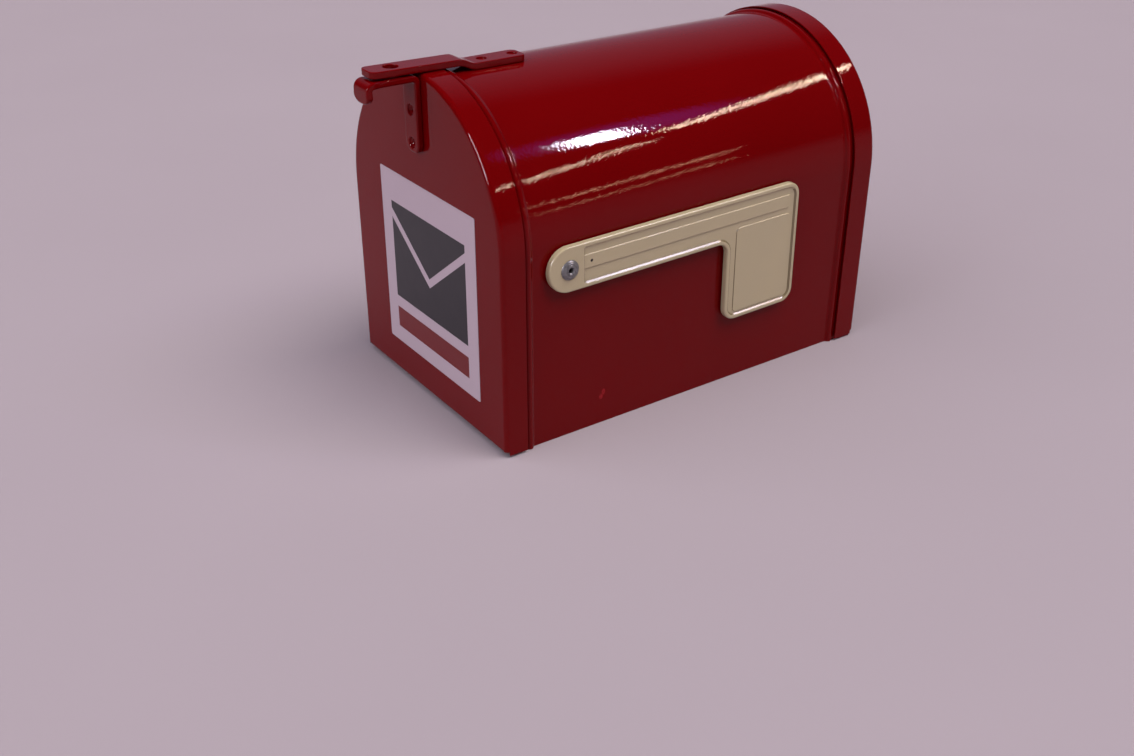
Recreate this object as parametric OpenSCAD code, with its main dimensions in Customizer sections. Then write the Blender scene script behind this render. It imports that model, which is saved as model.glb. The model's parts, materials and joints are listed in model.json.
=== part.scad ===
// Bank-size rural mailbox: folded sheet shell, pressed door and rear cap, strap catch, moulded flag.
// Millimetres. X runs across the box, Y from the door to the rear, Z up from the resting plane.
// The origin is the middle of the lower side of the box that encloses the whole object.

/* [Shell] */
// Length over the door face and the rear cap
length = 224.8; // [160:0.2:320]
// Half width of the folded shell, which is also the outside radius of its arch
shell_r = 65.8; // [60:0.1:75]
// Height at which the straight sides turn into the arch
spring_z = 96.5; // [92:0.5:120]
// Sheet thickness of the shell, door, cap and floor
sheet = 0.7; // [0.5:0.1:0.8]
// Height of the stiffening beads
bead_h = 1.7; // [1:0.1:1.7]
// Width of the stiffening beads
bead_w = 6; // [5:0.2:6.2]
// Distance from the free edge of a pan to the middle of the bead beside it
bead_gap = 2.8; // [2.6:0.1:4]

/* [Door and rear cap] */
// How far the pans stand out past the shell
pan_lip = 2.7; // [2.7:0.1:3]
// Depth of the door's side flange
door_depth = 11.9; // [9:0.1:14]
// Depth of the rear cap's side flange
cap_depth = 13.8; // [11:0.1:18]
// Outside radius of the pressed edge
edge_r = 2.2; // [1.8:0.1:2.4]
// Height of the folded bottom edge of the pans
fold_z = 2.2; // [2:0.1:2.4]
// Height of the lower end of the side flanges of the pans
flange_z = 1.2; // [0.8:0.1:1.6]

/* [Hinge] */
// Distance of the hinge rod behind the door face
rod_y = 5.5; // [5.4:0.1:5.8]
// Height of the hinge rod
rod_z = 7.5; // [7.3:0.1:7.8]
// Diameter of the hinge rod
rod_d = 3; // [2.4:0.2:3]
// Distance of each door lug from the middle of the box
lug_x = 43.5; // [30:0.5:45]

/* [Straps] */
// Thickness of the catch and of the pull
strap_t = 3.1; // [2.4:0.1:3.2]
// Width of the catch
catch_w = 12; // [11:0.5:14]
// Width of the pull
pull_w = 11.4; // [10.5:0.1:12.5]
// Reach of the catch in front of the door face
catch_reach = 23.5; // [21:0.5:26]
// Reach of the pull in front of the door face
pull_reach = 26.7; // [25:0.1:32]
// Diameter of the round hole near the tip of the catch
catch_hole_d = 7; // [5:0.5:7.5]
// Diameter of the rivet holes in both straps
rivet_hole_d = 4.7; // [4:0.1:5]

/* [Flag] */
// Distance of the flag pivot behind the door face
flag_y = 34.4; // [32:0.2:60]
// Height of the flag pivot
flag_z = 87; // [80:0.5:89]
// Half height of the flag arm
arm_r = 10.9; // [9.5:0.1:11.5]
// Length of the flag from its pivot to its far edge
flag_len = 138; // [110:0.2:145]
// Width of the leaf at the far end
leaf_w = 45.4; // [36:0.2:60]
// Depth of the leaf below the middle of the arm
leaf_drop = 53.3; // [40:0.1:60]
// Thickness of the moulding at its rim
flag_t = 3; // [2.6:0.1:3.4]
// Upward tilt of the arm as it hangs
flag_tilt = 0.9; // [0:0.1:2]

/* [Label] */
// Width of the label on the door
label_w = 86.5; // [40:0.5:90]
// Height of the label
label_h = 91; // [40:0.5:92]
// Distance of the label's middle from the middle of the door
label_x = 4; // [0:0.5:5]
// Height of the label's lower edge
label_z = 20.5; // [14:0.5:22]

/* [Hidden] */
$fn = 96;
over = 1;                                 // how far a cut runs past the surface it opens
fit = 0.06;                               // clearance around the rod and the rivet shanks

// shell and floor, all along Y from the door face
pan_r = shell_r + pan_lip;
inner_r = shell_r - sheet;
pan_inner_r = pan_r - sheet;
shell_top = spring_z + shell_r;
shell_front = 3;
shell_rear = length - edge_r - 0.1;       // ends where the cap starts to curve in
front_bead_y = door_depth + bead_gap;
cap_edge_y = length - cap_depth;
rear_bead_y = cap_edge_y - bead_gap;
flare_y = cap_edge_y + 1.6;               // the shell widens here to fill the cap
flare_run = 2.4;
land = 0.9;                               // the sheet outside each bead stands this much higher
relief_y = 10.8;                          // corner cut that lets the door's lower edge swing back
relief_z = 8.3;
curl_r = rod_d / 2 + fit;
floor_z = rod_z + curl_r;
floor_front = rod_y + 7;                  // the floor is full width behind this line
floor_rear = shell_rear - 1.6;
floor_flange_z = 1;
rear_flange_z = fold_z + 1.2;

// pans
pan_fold = 6.5;                           // depth of the folded lower edge
fold_half = inner_r - 1.6;                // half width of the fold, inside the shell walls
strip_z = fold_z + 1;                     // top of the square notch in each lower corner

// hinge
rod_len = 122;
lug_t = 1.4;
lug_plate_w = 12;
lug_plate_h = 14;
lug_plate_z = fold_z + edge_r + 0.6;
lug_gap = 3;                              // gap between a lug and the curls beside it
ear_r = rod_d / 2 + 1.4;
outer_curl_x = lug_x + 5.5;
outer_curl_w = 10;

// catch and pull
catch_slope = 1;
catch_bend_y = 19;
catch_rise = 2.75;
catch_step_y = 27.5;
catch_end_y = 55;
catch_rivet_y = [34.3, 50.6];
catch_hole_y = -11.4;
catch_corner = 3.2;
pull_top_z = shell_top + 2.3;
pull_foot_z = pull_top_z - 36;
pull_rivet_z = [pull_top_z - 16.4, pull_top_z - 31.6];
pull_corner = 4.2;
pull_bend_r = strap_t + 1;
pull_split_y = -pull_reach + 4;           // the tab is wider than the leg in front of this line
tab_z = pull_top_z - 9.8;
tab_w = pull_w + 1.5;
dimple_r = 5;
dimple_h = 0.7;
rivet_head_d = 8;
rivet_head_t = 1.1;
rivet_taper = 1.4;
rivet_sink = 0.7;                         // depth of the hollow end below the strap's surface
rivet_bore_d = 2;
crown_gap = 0.13;                         // a flat head clears the arch's inside by this much

// flag
flag_gap = 1;
flag_hole_d = 4.9;
flag_shank_d = 4.76;
flag_head_d = 9.5;
flag_head_t = 1.5;
flag_pit_d = 2.4;
flag_tail_d = 7;
flag_tail_t = 2.6;
flag_corner = 7;
flag_fillet = 5.5;
face_gap = 0.02;                          // play between the flag and what holds it
spacer_d = 13;
washer_d = 11;
washer_t = 0.8;
rim_w = 2.3;
recess = 0.9;                             // depth of the field inside the rim
pad_end = 7.9;                            // the full thickness pad round the pivot ends here
rib = [-1.8, 4.7, 6, 0.5];                // lower edge, upper edge, gap to the far rim, height
panel = [5.8, 4.8, 3.8, 5, 0.4];          // margins near, far, below, drop below the arm, height
panel_corner = 2;
label_t = 0.2;

// placing
front_y = -(length - pull_reach) / 2;
side_x = -(shell_r + flag_gap + flag_t + flag_head_t - pan_r) / 2;

// ---- helpers ----

// Places a shape that is drawn with the door face at y = 0 and the box's middle at x = 0
module placed() {
    translate([side_x, front_y, 0]) children();
}

// Extrudes an outline drawn as (y, z) along X, with its middle at x = 0
module along_x(width) {
    translate([-width / 2, 0, 0]) rotate([90, 0, 90]) linear_extrude(width) children();
}

// Carries a section drawn as (distance from the middle plane, y) up one side, over the arch
// and down the other side
module u_sweep(bottom) {
    translate([0, 0, spring_z]) rotate([90, 0, 0]) rotate_extrude(angle = 180)
        mirror([0, 1]) children();
    for (side = [0, 1]) mirror([side, 0, 0])
        translate([0, 0, bottom]) linear_extrude(spring_z - bottom) children();
}

// Rectangle from one corner to the other
module box2(x0, y0, x1, y1) {
    translate([x0, y0]) square([x1 - x0, y1 - y0]);
}

// Rectangle with rounded corners of the given radius
module round_box(x0, y0, x1, y1, corner) {
    box2(x0 + corner, y0, x1 - corner, y1);
    box2(x0, y0 + corner, x1, y1 - corner);
    for (x = [x0 + corner, x1 - corner], y = [y0 + corner, y1 - corner])
        translate([x, y]) circle(corner);
}

// ---- shell ----

// Half round bead with a fillet on each side, drawn as (radius, y) around y = middle
module bead_bump(base, middle) {
    half = bead_w / 2;
    arc = (half * half + bead_h * bead_h) / (4 * bead_h);
    translate([base, middle]) {
        translate([bead_h - arc, 0]) circle(arc);
        for (side = [0, 1]) mirror([0, side]) difference() {
            box2(-sheet / 2, 0, bead_h / 2, half);
            translate([arc, half]) circle(arc);
        }
    }
}

// Everything inside the outer surface of the shell, drawn as (radius, y)
module shell_fill() {
    core_r = shell_r - 3 * sheet;
    box2(core_r, shell_front, shell_r, flare_y + flare_run);
    box2(core_r, shell_front, shell_r + land, front_bead_y);
    bead_bump(shell_r, front_bead_y);
    bead_bump(shell_r, rear_bead_y);
    polygon([[core_r, rear_bead_y], [shell_r + land, rear_bead_y], [shell_r + land, flare_y],
        [pan_inner_r, flare_y + flare_run], [pan_inner_r, shell_rear], [core_r, shell_rear]]);
}

module shell_section() {
    difference() {
        shell_fill();
        translate([-sheet, 0]) shell_fill();
        box2(shell_r - 5 * sheet, shell_front - over, inner_r, flare_y);
    }
}

module body_shell() {
    color("firebrick") placed() difference() {
        u_sweep(0) shell_section();
        for (y = catch_rivet_y) translate([0, y, shell_top - 4]) cylinder(h = 8, d = rivet_hole_d);
        translate([inner_r - over, flag_y, flag_z]) rotate([0, 90, 0])
            cylinder(h = sheet + 2 * over, d = flag_hole_d);
        for (side = [0, 1]) mirror([side, 0, 0]) translate([inner_r - over, 0, -over])
            cube([pan_inner_r - inner_r + 2 * over, relief_y, relief_z + over]);
    }
}

// ---- floor ----

// Front edge of the floor: the sheet runs forward over the hinge rod and curls down around it
module curl_section() {
    difference() {
        union() {
            translate([rod_y, rod_z]) circle(curl_r + sheet);
            box2(rod_y, floor_z, floor_front + over, floor_z + sheet);
        }
        translate([rod_y, rod_z]) circle(curl_r);
        box2(rod_y + 0.2, rod_z - 4, rod_y + 4, floor_z - 0.25);
    }
}

module floor_panel() {
    run = floor_rear - floor_front;
    color("firebrick") placed() {
        translate([-inner_r, floor_front, floor_z]) cube([2 * inner_r, run, sheet]);
        for (side = [0, 1]) mirror([side, 0, 0])
            translate([inner_r - sheet, floor_front, floor_flange_z])
                cube([sheet, run, floor_z - floor_flange_z]);
        translate([-inner_r, floor_rear - sheet, rear_flange_z])
            cube([2 * inner_r, sheet, floor_z - rear_flange_z]);
        along_x(2 * (lug_x - lug_gap)) curl_section();
        for (side = [-1, 1]) translate([side * (outer_curl_x + outer_curl_w / 2), 0, 0])
            along_x(outer_curl_w) curl_section();
    }
}

// ---- pressed pans ----

// Pan section drawn as (distance from the middle plane, depth behind the face)
module pan_fill(depth, cut) {
    flat = pan_r - edge_r;
    box2(0, cut, flat, depth);
    box2(flat - 0.5, edge_r, pan_r - cut, depth);
    translate([flat, edge_r]) circle(edge_r - cut);
}

module pan_section(depth) {
    difference() {
        pan_fill(depth, 0);
        pan_fill(depth + over, sheet);
    }
}

// Rounded lower edge of a pan, drawn as (depth behind the face, z)
module fold_round() {
    middle = fold_z + edge_r;
    difference() {
        intersection() {
            translate([edge_r, middle]) circle(edge_r);
            box2(0, fold_z, edge_r, middle);
        }
        translate([edge_r, middle]) circle(edge_r - sheet);
    }
}

// Open pan with its face at y = 0 and its flanges running to +Y
module pressed_pan(depth) {
    flat = pan_r - edge_r;
    u_sweep(fold_z + edge_r) pan_section(depth);
    along_x(2 * flat) fold_round();
    along_x(2 * fold_half) box2(edge_r, fold_z, pan_fold, fold_z + sheet);
    for (side = [0, 1]) mirror([side, 0, 0]) {
        translate([0, 0, strip_z]) linear_extrude(fold_z + edge_r - strip_z) intersection() {
            pan_section(depth);
            box2(flat, 0, pan_r, depth);
        }
        translate([pan_inner_r, edge_r, flange_z]) cube([sheet, depth - edge_r, strip_z - flange_z]);
    }
}

module door_pan() {
    color("firebrick") placed() difference() {
        pressed_pan(door_depth);
        for (z = pull_rivet_z) translate([0, -over, z]) rotate([-90, 0, 0])
            cylinder(h = sheet + 2 * over, d = rivet_hole_d);
    }
}

module rear_cap() {
    color("firebrick") placed() translate([0, length, 0]) mirror([0, 1, 0]) pressed_pan(cap_depth);
}

// ---- hinge ----

module hinge_rod() {
    color("silver") placed() translate([-rod_len / 2, rod_y, rod_z]) rotate([0, 90, 0])
        cylinder(h = rod_len, d = rod_d);
}

// Angle bracket welded inside the door, with an ear that turns on the hinge rod
module door_lug(side) {
    placed() translate([side * lug_x, 0, 0]) difference() {
        union() {
            translate([-lug_plate_w / 2, sheet, lug_plate_z]) cube([lug_plate_w, lug_t, lug_plate_h]);
            translate([0, rod_y, rod_z]) rotate([0, 90, 0])
                cylinder(h = lug_t, r = ear_r, center = true);
            translate([-lug_t / 2, sheet, rod_z - ear_r]) cube([lug_t, rod_y - sheet, 2 * ear_r]);
        }
        translate([0, rod_y, rod_z]) rotate([0, 90, 0])
            cylinder(h = lug_t + 2 * over, d = rod_d + 2 * fit, center = true);
    }
}

module door_lug_left() { color("firebrick") door_lug(-1); }

module door_lug_right() { color("firebrick") door_lug(1); }

// ---- catch and pull ----

// Side view of the catch, drawn as (y, z): flat on the shell, a step up, then a slight rise
module catch_side() {
    low = shell_top;
    high = low + catch_rise;
    tip = high + (catch_reach + catch_bend_y) * tan(catch_slope);
    bottom = [[catch_end_y, low], [catch_step_y, low], [catch_bend_y, high], [-catch_reach, tip]];
    top = [[-catch_reach, tip + strap_t], [catch_bend_y + 1, high + strap_t],
        [catch_step_y + 1, low + strap_t], [catch_end_y, low + strap_t]];
    polygon(concat(bottom, top));
}

module catch_strap() {
    depth = catch_rise + 3 * strap_t;
    color("firebrick") placed() difference() {
        intersection() {
            along_x(catch_w) catch_side();
            translate([0, 0, shell_top - over]) linear_extrude(depth)
                round_box(-catch_w / 2, -catch_reach, catch_w / 2, catch_end_y, catch_corner);
        }
        translate([0, catch_hole_y, shell_top]) cylinder(h = depth, d = catch_hole_d);
        for (y = catch_rivet_y) translate([0, y, shell_top - over])
            cylinder(h = depth, d = rivet_hole_d);
    }
}

// Tubular rivet: a low head, a shank of the given length and a hollow end
module strap_rivet(grip) {
    difference() {
        union() {
            cylinder(h = grip, d = rivet_hole_d - 2 * fit);
            translate([0, 0, -rivet_head_t])
                cylinder(h = rivet_head_t, d1 = rivet_head_d - rivet_taper, d2 = rivet_head_d);
        }
        translate([0, 0, grip - over]) cylinder(h = 2 * over, d = rivet_bore_d);
    }
}

module catch_rivet(y) {
    color("firebrick") placed() translate([0, y, shell_top - sheet - crown_gap])
        strap_rivet(sheet + crown_gap + strap_t - rivet_sink);
}

module catch_rivet_front() { catch_rivet(catch_rivet_y[0]); }

module catch_rivet_rear() { catch_rivet(catch_rivet_y[1]); }

// Side view of the pull, drawn as (y, z): up the door, forward under the catch, down at the tip
module pull_side() {
    bend = pull_bend_r;
    knee = pull_top_z - bend;
    tip = -pull_reach;
    difference() {
        union() {
            box2(-strap_t, pull_foot_z, 0, knee);
            box2(tip + bend, pull_top_z - strap_t, -bend, pull_top_z);
            box2(tip, tab_z, tip + strap_t, knee);
            intersection() {
                translate([-bend, knee]) circle(bend);
                box2(-bend, knee, 0, pull_top_z);
            }
            intersection() {
                translate([tip + bend, knee]) circle(bend);
                box2(tip, knee, tip + bend, pull_top_z);
            }
        }
        translate([-bend, knee]) circle(bend - strap_t);
        translate([tip + bend, knee]) circle(bend - strap_t);
    }
}

// The part of the pull between two distances in front of the door face, seen from the front as
// a strap of the given width whose lower corners are rounded
module pull_part(from, to, width, foot) {
    intersection() {
        along_x(width) pull_side();
        translate([0, to, 0]) rotate([90, 0, 0]) linear_extrude(to - from)
            round_box(-width / 2, foot, width / 2, pull_top_z + 2 * pull_corner, pull_corner);
    }
}

module door_pull() {
    color("firebrick") placed() {
        difference() {
            union() {
                pull_part(pull_split_y, over, pull_w, pull_foot_z);
                pull_part(-pull_reach - over, pull_split_y, tab_w, tab_z);
            }
            for (z = pull_rivet_z) translate([0, -strap_t - over, z]) rotate([-90, 0, 0])
                cylinder(h = strap_t + 2 * over, d = rivet_hole_d);
        }
        intersection() {
            translate([0, catch_hole_y, pull_top_z + dimple_h - dimple_r]) sphere(dimple_r);
            translate([-dimple_r, catch_hole_y - dimple_r, pull_top_z - strap_t / 4])
                cube(2 * dimple_r);
        }
    }
}

module pull_rivet(z) {
    color("firebrick") placed() translate([0, sheet, z]) rotate([90, 0, 0])
        strap_rivet(sheet + strap_t - rivet_sink);
}

module pull_rivet_upper() { pull_rivet(pull_rivet_z[0]); }

module pull_rivet_lower() { pull_rivet(pull_rivet_z[1]); }

// ---- flag ----

// Flag outline drawn as (distance from the pivot, height), moved in by the given amount
module flag_outline(inset) {
    half = arm_r - inset;
    far = flag_len - inset;
    near = flag_len - leaf_w + inset;
    corner = flag_corner - inset;
    fillet = flag_fillet + inset;
    circle(half);
    box2(0, -half, near + over, half);
    round_box(near, -leaf_drop + inset, far, half, corner);
    box2(near - over, half - corner - over, near + corner + over, half);
    difference() {
        box2(near - fillet, -half - fillet, near + over, -half + over);
        translate([near - fillet, -half - fillet]) circle(fillet);
    }
}

// Turns an outline drawn as (y, z) at the pivot into a layer of the flag
module flag_layer(from, to) {
    translate([from, 0, 0]) rotate([90, 0, 90]) linear_extrude(to - from) children();
}

// Raised detail on the field, sunk a little into it so that they join
module flag_raised(height) {
    field = flag_t - recess;
    flag_layer(field - 0.1, field + height) children();
}

module signal_flag() {
    back = shell_r + flag_gap;
    color("wheat") placed() translate([back, flag_y, flag_z]) rotate([flag_tilt, 0, 0]) difference() {
        union() {
            difference() {
                flag_layer(0, flag_t) flag_outline(0);
                flag_layer(flag_t - recess, flag_t + over) intersection() {
                    flag_outline(rim_w);
                    box2(pad_end, -flag_len, flag_len, flag_len);
                }
            }
            flag_raised(rib[3]) box2(pad_end - 0.5, rib[0], flag_len - rib[2], rib[1]);
            flag_raised(panel[4]) round_box(flag_len - leaf_w + panel[0], -leaf_drop + panel[2],
                flag_len - panel[1], -panel[3], panel_corner);
        }
        translate([-over, 0, 0]) rotate([0, 90, 0]) cylinder(h = flag_t + 2 * over, d = flag_hole_d);
    }
}

// Places a shape drawn along +Z so that it stands out of the shell at the flag pivot
module at_pivot(from) {
    placed() translate([from, flag_y, flag_z]) rotate([0, 90, 0]) children();
}

// Blind rivet: domed outer head, hollow shank through flag, spacer and shell, formed end inside
module flag_rivet() {
    tail = inner_r - washer_t;
    grip = shell_r + flag_gap + flag_t - tail;
    dome_r = (flag_head_d * flag_head_d / 4 + flag_head_t * flag_head_t) / (2 * flag_head_t);
    color("darkgray") at_pivot(tail) difference() {
        union() {
            translate([0, 0, -flag_tail_t - 0.4])
                cylinder(h = grip + flag_tail_t + 0.6, d = flag_shank_d);
            translate([0, 0, -flag_tail_t]) cylinder(h = flag_tail_t, d = flag_tail_d);
            intersection() {
                translate([0, 0, grip + flag_head_t - dome_r]) sphere(dome_r);
                translate([0, 0, grip + face_gap]) cylinder(h = 4, d = flag_head_d);
            }
        }
        translate([0, 0, -flag_tail_t - 1]) cylinder(h = grip + flag_tail_t + 6, d = flag_pit_d);
    }
}

// What is left of the rivet's setting stem: it broke off below the head, and its own head is inside
module flag_rivet_stem() {
    tail = inner_r - washer_t;
    grip = shell_r + flag_gap + flag_t - tail;
    foot = -flag_tail_t - 0.4 - face_gap;
    color("dimgray") at_pivot(tail) {
        translate([0, 0, foot - 1.2]) cylinder(h = 1.2, d1 = 2.2, d2 = 3.6);
        translate([0, 0, foot - 0.2]) cylinder(h = grip + 0.2 - foot, d = flag_pit_d - 0.1);
    }
}

module flag_spacer() {
    color("gainsboro") at_pivot(shell_r) difference() {
        cylinder(h = flag_gap - face_gap, d = spacer_d);
        translate([0, 0, -over]) cylinder(h = flag_gap + 2 * over, d = flag_hole_d);
    }
}

module flag_backing_washer() {
    color("silver") at_pivot(inner_r - washer_t) difference() {
        cylinder(h = washer_t, d = washer_d);
        translate([0, 0, -over]) cylinder(h = washer_t + 2 * over, d = flag_hole_d);
    }
}

// ---- label ----

module front_label() {
    color("whitesmoke") placed()
        translate([label_x - label_w / 2, -label_t, label_z]) cube([label_w, label_t, label_h]);
}

body_shell();
floor_panel();
rear_cap();
door_pan();
hinge_rod();
door_lug_left();
door_lug_right();
catch_strap();
catch_rivet_front();
catch_rivet_rear();
door_pull();
pull_rivet_upper();
pull_rivet_lower();
signal_flag();
flag_rivet();
flag_rivet_stem();
flag_spacer();
flag_backing_washer();
front_label();
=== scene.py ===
import json
import math

import bpy
import bmesh
from bpy.props import FloatProperty, FloatVectorProperty, PointerProperty
from mathutils import Matrix, Vector


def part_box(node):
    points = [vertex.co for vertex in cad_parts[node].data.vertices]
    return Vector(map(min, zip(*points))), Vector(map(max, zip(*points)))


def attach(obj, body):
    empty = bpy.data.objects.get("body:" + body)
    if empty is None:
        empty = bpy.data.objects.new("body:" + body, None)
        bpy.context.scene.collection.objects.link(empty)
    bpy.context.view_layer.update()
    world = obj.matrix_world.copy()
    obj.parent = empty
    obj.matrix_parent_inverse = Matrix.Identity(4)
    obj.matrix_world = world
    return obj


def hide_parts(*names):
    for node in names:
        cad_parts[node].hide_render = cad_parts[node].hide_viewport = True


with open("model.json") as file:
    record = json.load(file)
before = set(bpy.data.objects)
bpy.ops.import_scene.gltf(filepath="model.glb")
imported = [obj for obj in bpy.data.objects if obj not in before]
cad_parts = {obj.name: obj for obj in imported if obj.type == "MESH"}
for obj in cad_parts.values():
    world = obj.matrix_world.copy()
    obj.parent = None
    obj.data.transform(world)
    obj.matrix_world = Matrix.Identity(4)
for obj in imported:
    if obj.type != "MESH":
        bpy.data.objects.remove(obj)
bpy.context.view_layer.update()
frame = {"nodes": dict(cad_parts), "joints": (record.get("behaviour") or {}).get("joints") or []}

bl_info = {
    "name": "Small painted mailbox",
    "version": (1, 0, 0),
    "blender": (4, 5, 0),
    "location": "3D View > Sidebar > Mailbox",
    "description": "Builds the pieces and finishes of a bank-size sheet steel mailbox",
    "category": "Object",
}

MM = 0.001
HAIR = MM / 100  # play in tests on places, and the shell's height over the ground

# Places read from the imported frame. Across is +X, along the box is +Y, up is +Z.
PAN_LOW, PAN_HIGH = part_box("door_pan")
CAP_LOW, CAP_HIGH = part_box("rear_cap")
SHELL_LOW, SHELL_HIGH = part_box("body_shell")
CATCH_LOW, CATCH_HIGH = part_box("catch_strap")
PULL_LOW, PULL_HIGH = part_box("door_pull")
LABEL_LOW, LABEL_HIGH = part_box("front_label")
FLAG_LOW, FLAG_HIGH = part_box("signal_flag")
MID_X = (PAN_LOW.x + PAN_HIGH.x) / 2
FRONT_Y = PAN_LOW.y
REAR_Y = CAP_HIGH.y
PAN_SLACK = 0.02 * MM  # keeps the pans drawn here just inside the solid ones
PAN_R = (PAN_HIGH.x - PAN_LOW.x) / 2 - PAN_SLACK
SPRING_Z = PAN_HIGH.z - PAN_R
SHELL_R = CATCH_LOW.z - SPRING_Z
RING = 4 * MM  # height of the first ring of faces under the half round
CLICK_Y = FRONT_Y - 11.4 * MM  # where the dimple clicks into the catch's hole
FLAG_PIVOT = next(Vector(j["pos_m"]) for j in frame["joints"] if j["name"] == "flag_pivot")


def linear(code):
    """Turns an sRGB hex colour such as #6c0205 into a linear red, green, blue and alpha."""
    values = [int(code[i:i + 2], 16) / 255 for i in (1, 3, 5)]
    return [v / 12.92 if v <= 0.04045 else ((v + 0.055) / 1.055) ** 2.4 for v in values] + [1.0]


# ---- settings ----

def length(name, about, size):
    """A length that a user can change, given here in millimetres."""
    return FloatProperty(name=name, description=about, default=size * MM, min=0.0, unit="LENGTH")


def colour(name, about, code):
    """A colour that a user can change, given here as an sRGB hex value."""
    return FloatVectorProperty(name=name, description=about, subtype="COLOR", size=4, min=0.0,
                               max=1.0, default=linear(code))


class MailboxSheetSettings(bpy.types.PropertyGroup):
    sheet: length("Sheet", "Thickness of the folded and pressed sheet", 0.7)
    bead_width: length("Bead width", "Width of a stiffening bead", 6.0)
    bead_rise: length("Bead rise", "Height of a stiffening bead", 1.7)
    bead_gap: length("Bead gap", "From the edge of a pan to the middle of the bead", 2.8)
    land: length("Land", "Height of the sheet outside the beads over the sheet between", 0.9)
    edge_radius: length("Pressed edge", "Outside radius of the pressed edge of a pan", 2.2)
    fold_depth: length("Folded edge", "Depth of the folded lower edge of a pan", 6.5)
    relief_depth: length("Relief depth", "Depth of the cut in the shell's lower corner", 10.8)
    relief_height: length("Relief height", "Height of the cut in the shell's lower corner", 8.3)


class MailboxStrapSettings(bpy.types.PropertyGroup):
    thickness: length("Thickness", "Thickness of the catch and the pull", 3.1)
    pull_width: length("Pull width", "Width of the pull's leg", 11.4)
    tip_hole: length("Tip hole", "Diameter of the hole near the catch's tip", 7.0)
    rivet_hole: length("Rivet hole", "Diameter of the rivet holes", 4.7)
    step: length("Step", "Rise of the catch over the roof", 2.75)
    dimple: length("Dimple", "Height of the pull's dimple", 0.7)
    soft_edge: length("Soft edge", "Radius that tumbling and enamel leave on an edge", 0.85)


class MailboxFlagSettings(bpy.types.PropertyGroup):
    arm_radius: length("Arm radius", "Half height of the arm", 10.9)
    reach: length("Reach", "From the pivot to the far edge", 138.0)
    pad: length("Pad", "From the pivot to the end of the thick pad round it", 7.9)
    leaf_width: length("Leaf width", "Width of the leaf at the far end", 45.4)
    leaf_drop: length("Leaf drop", "Depth of the leaf below the arm's middle", 53.3)
    rim_width: length("Rim width", "Width of the raised rim", 2.3)
    recess: length("Recess", "Depth of the field inside the rim", 0.9)
    tilt: FloatProperty(name="Tilt", description="Upward tilt of the arm at rest",
                        default=math.radians(0.9), subtype="ANGLE")


class MailboxFinishSettings(bpy.types.PropertyGroup):
    enamel: colour("Enamel", "Dark red enamel of the sheet parts", "#6c0205")
    enamel_deep: colour("Enamel, deep", "The same enamel where it lies thicker", "#680103")
    flag_plastic: colour("Flag plastic", "Cream plastic of the flag", "#b6a98c")
    label_film: colour("Label film", "White film of the label", "#bcaab4")
    label_ink: colour("Label ink", "Charcoal ink of the label", "#1d1b21")
    rivet_zinc: colour("Rivet", "Dull zinc of the blind rivet", "#989698")
    floor: colour("Floor", "Pale floor under the box", "#a3979f")
    peel_size: length("Peel size", "Spacing of the orange peel ripples in the enamel", 1.4)


# ---- modelling helpers ----

def place(x, y, z):
    """A point given in millimetres from the door face, the box's middle and the floor."""
    return Vector((MID_X + x * MM, FRONT_Y + y * MM, z * MM))


def arc(middle, radius, start, end, steps):
    """Points on a circle's arc between two angles in degrees, both ends included."""
    turns = [math.radians(start + (end - start) * i / steps) for i in range(steps + 1)]
    return [(middle[0] + radius * math.cos(t), middle[1] + radius * math.sin(t)) for t in turns]


def clear_selection():
    """Leaves edit mode and deselects every object."""
    if bpy.context.object and bpy.context.object.mode != "OBJECT":
        bpy.ops.object.mode_set(mode="OBJECT")
    bpy.ops.object.select_all(action="DESELECT")


def activate(piece):
    """Makes a piece the active object and the only selected one."""
    clear_selection()
    piece.select_set(True)
    bpy.context.view_layer.objects.active = piece


def named(name):
    """Names the primitive that was just added and bakes its place into its mesh."""
    piece = bpy.context.object
    piece.name = piece.data.name = name
    bpy.ops.object.transform_apply(location=True, rotation=True, scale=True)
    return piece


def edit(piece):
    """Opens a piece in edit mode with nothing selected."""
    activate(piece)
    bpy.ops.object.mode_set(mode="EDIT")
    bpy.ops.mesh.select_mode(type="VERT")
    bpy.ops.mesh.select_all(action="DESELECT")


def pick(piece, mode, test):
    """Selects the vertices, edges or faces that pass the test.

    It gets a vertex's place, an edge's middle and run, or a face's middle and normal."""
    bpy.ops.mesh.select_mode(type=mode)
    bpy.ops.mesh.select_all(action="DESELECT")
    mesh = bmesh.from_edit_mesh(piece.data)
    if mode == "VERT":
        for vertex in mesh.verts:
            vertex.select = test(vertex.co)
    elif mode == "EDGE":
        for edge in mesh.edges:
            edge.select_set(test((edge.verts[0].co + edge.verts[1].co) / 2,
                                 edge.verts[1].co - edge.verts[0].co))
    else:
        for face in mesh.faces:
            face.select_set(test(face.calc_center_median(), face.normal))
    mesh.select_flush_mode()
    bmesh.update_edit_mesh(piece.data)


def near(a, b):
    """True where two lengths agree to a thousandth of a millimetre."""
    return abs(a - b) < MM / 1000


def draw_line(name, points):
    """Adds a plane, gathers it into one corner and draws that corner through the points."""
    clear_selection()
    bpy.ops.mesh.primitive_plane_add(size=MM, location=points[0])
    piece = named(name)
    bpy.ops.object.mode_set(mode="EDIT")
    bpy.ops.mesh.select_mode(type="VERT")
    bpy.ops.mesh.select_all(action="SELECT")
    bpy.ops.mesh.merge(type="CENTER")
    for start, end in zip(points, points[1:]):
        bpy.ops.mesh.extrude_vertices_move(TRANSFORM_OT_translate={"value": end - start})
    return piece


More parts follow.
